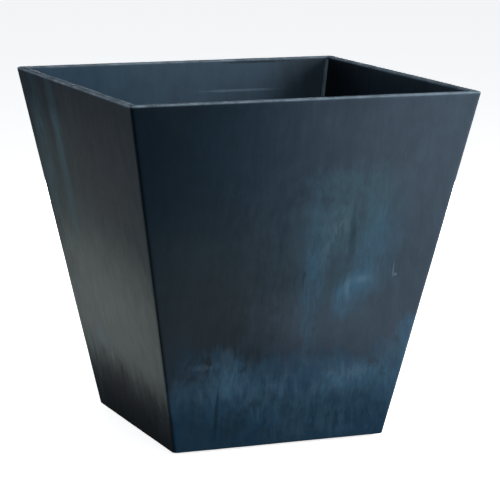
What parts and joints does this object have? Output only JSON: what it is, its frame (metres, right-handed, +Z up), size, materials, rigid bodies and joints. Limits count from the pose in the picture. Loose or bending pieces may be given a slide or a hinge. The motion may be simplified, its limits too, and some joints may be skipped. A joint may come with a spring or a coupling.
{
  "type": "planter box",
  "caption": "Tapered square planter with a plain flat rim, dark blue-grey stained walls, a raised drained base on rubber feet and a lift-out drainage plate.",
  "frame": {"origin": "on the ground under the middle of the planter", "axes": "+Z up; -Y is the front face, which the picture shows nearly square on; +X is to the right seen from the front"},
  "size_m": [0.449, 0.449, 0.44],
  "materials": {
    "stained_wall": "matte",
    "seal_mortar": "matte",
    "raw_base": "matte",
    "foot_rubber": "matte",
    "plug_rubber": "satin",
    "screw_steel": "satin",
    "drain_plastic": "satin",
    "pipe_plastic": "satin",
    "plate_plastic": "matte"
  },
  "bodies": {
    "root": {"front_panel": "stained_wall", "rear_panel": "stained_wall", "left_panel": "stained_wall", "right_panel": "stained_wall", "corner_seal_front_left": "seal_mortar", "corner_seal_front_right": "seal_mortar", "corner_seal_rear_left": "seal_mortar", "corner_seal_rear_right": "seal_mortar", "base_panel": "raw_base", "base_seal": "seal_mortar", "corner_block_front_left": "raw_base", "corner_block_front_right": "raw_base", "corner_block_rear_left": "raw_base", "corner_block_rear_right": "raw_base", "rubber_foot_front_left": "foot_rubber", "rubber_foot_front_right": "foot_rubber", "rubber_foot_rear_left": "foot_rubber", "rubber_foot_rear_right": "foot_rubber", "foot_screws": "screw_steel", "drain_bush": "drain_plastic", "drain_gasket": "foot_rubber", "drain_nut": "drain_plastic", "overflow_pipe": "pipe_plastic", "overflow_strainer": "pipe_plastic"},
    "drainage_plate": {"drainage_plate": "plate_plastic", "plate_leg_front_left": "plate_plastic", "plate_leg_front": "plate_plastic", "plate_leg_front_right": "plate_plastic", "plate_leg_left": "plate_plastic", "plate_leg_right": "plate_plastic", "plate_leg_rear_left": "plate_plastic", "plate_leg_rear": "plate_plastic", "plate_leg_rear_right": "plate_plastic"},
    "drain_plug": {"drain_plug": "plug_rubber"}
  },
  "joints": [
    {"name": "plate_lift", "type": "slide", "parent": "root", "child": "drainage_plate", "axis": [0, 0, 1], "range_m": [0, 0.42]},
    {"name": "plug_pull", "type": "slide", "parent": "root", "child": "drain_plug", "axis": [0, 0, -1], "range_m": [0, 0.03]}
  ]
}
